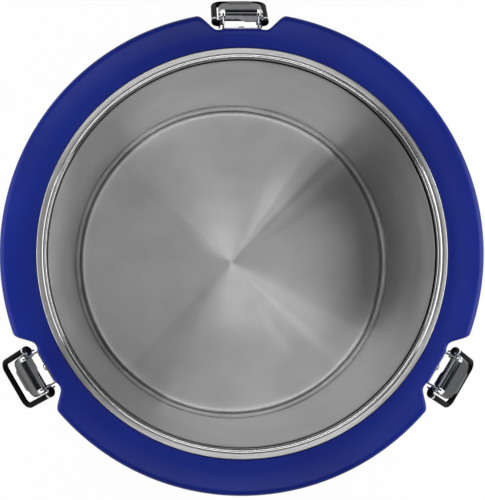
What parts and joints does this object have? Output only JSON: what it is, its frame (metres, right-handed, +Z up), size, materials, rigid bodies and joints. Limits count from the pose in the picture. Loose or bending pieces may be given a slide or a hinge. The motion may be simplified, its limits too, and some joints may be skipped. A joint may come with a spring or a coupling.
{
  "type": "insulated food container",
  "caption": "Round insulated food container: moulded double-wall body, deep steel liner and over-centre latches with wire bails round the rim that hold a lift-off lid, shown open.",
  "frame": {"origin": "middle of the flat base, where the container stands", "axes": "+Z up through the liner's mouth, +Y towards the rear latch, +X to the right"},
  "size_m": [0.3764, 0.3861, 0.28],
  "materials": {
    "moulded_blue": "satin",
    "foam": "matte",
    "liner_steel": "satin",
    "silicone": "matte",
    "plug_blue": "satin",
    "latch_steel": "satin",
    "lever_steel": "polished",
    "rivet_steel": "polished",
    "plain_steel": "satin",
    "black_sleeve": "satin"
  },
  "bodies": {
    "container": {"outer_shell": "moulded_blue", "foam_core": "foam", "inner_liner": "liner_steel", "rim_seal": "silicone", "foam_plug": "plug_blue", "rear_latch_plate": "latch_steel", "rear_latch_rivets": "rivet_steel", "rear_latch_backing": "plain_steel", "rear_latch_pin": "rivet_steel", "left_latch_plate": "latch_steel", "left_latch_rivets": "rivet_steel", "left_latch_backing": "plain_steel", "left_latch_pin": "rivet_steel", "right_latch_plate": "latch_steel", "right_latch_rivets": "rivet_steel", "right_latch_backing": "plain_steel", "right_latch_pin": "rivet_steel"},
    "rear_lever": {"rear_latch_lever": "lever_steel"},
    "rear_bail": {"rear_bail_wire": "plain_steel", "rear_bail_sleeve": "black_sleeve", "rear_bail_ferrules": "rivet_steel", "rear_bail_boots": "black_sleeve"},
    "left_lever": {"left_latch_lever": "lever_steel"},
    "left_bail": {"left_bail_wire": "plain_steel", "left_bail_sleeve": "black_sleeve", "left_bail_ferrules": "rivet_steel", "left_bail_boots": "black_sleeve"},
    "right_lever": {"right_latch_lever": "lever_steel"},
    "right_bail": {"right_bail_wire": "plain_steel", "right_bail_sleeve": "black_sleeve", "right_bail_ferrules": "rivet_steel", "right_bail_boots": "black_sleeve"}
  },
  "joints": [
    {"name": "rear_lever_swing", "type": "hinge", "parent": "container", "child": "rear_lever", "pos_m": [0, 0.18, 0.256], "axis": [1, 0, 0], "range_deg": [-22, 73]},
    {"name": "rear_bail_swing", "type": "hinge", "parent": "rear_lever", "child": "rear_bail", "pos_m": [0, 0.17874, 0.24578], "axis": [-1, 0, 0], "range_deg": [-158, 9]},
    {"name": "left_lever_swing", "type": "hinge", "parent": "container", "child": "left_lever", "pos_m": [-0.15588, -0.09, 0.256], "axis": [-0.5, 0.866, 0], "range_deg": [-18, 77]},
    {"name": "left_bail_swing", "type": "hinge", "parent": "left_lever", "child": "left_bail", "pos_m": [-0.15417, -0.08901, 0.2459], "axis": [0.5, -0.866, 0], "range_deg": [-148, 19]},
    {"name": "right_lever_swing", "type": "hinge", "parent": "container", "child": "right_lever", "pos_m": [0.15588, -0.09, 0.256], "axis": [-0.5, -0.866, 0], "range_deg": [-26, 69]},
    {"name": "right_bail_swing", "type": "hinge", "parent": "right_lever", "child": "right_bail", "pos_m": [0.15541, -0.08973, 0.24572], "axis": [0.5, 0.866, 0], "range_deg": [-159, 8]}
  ]
}
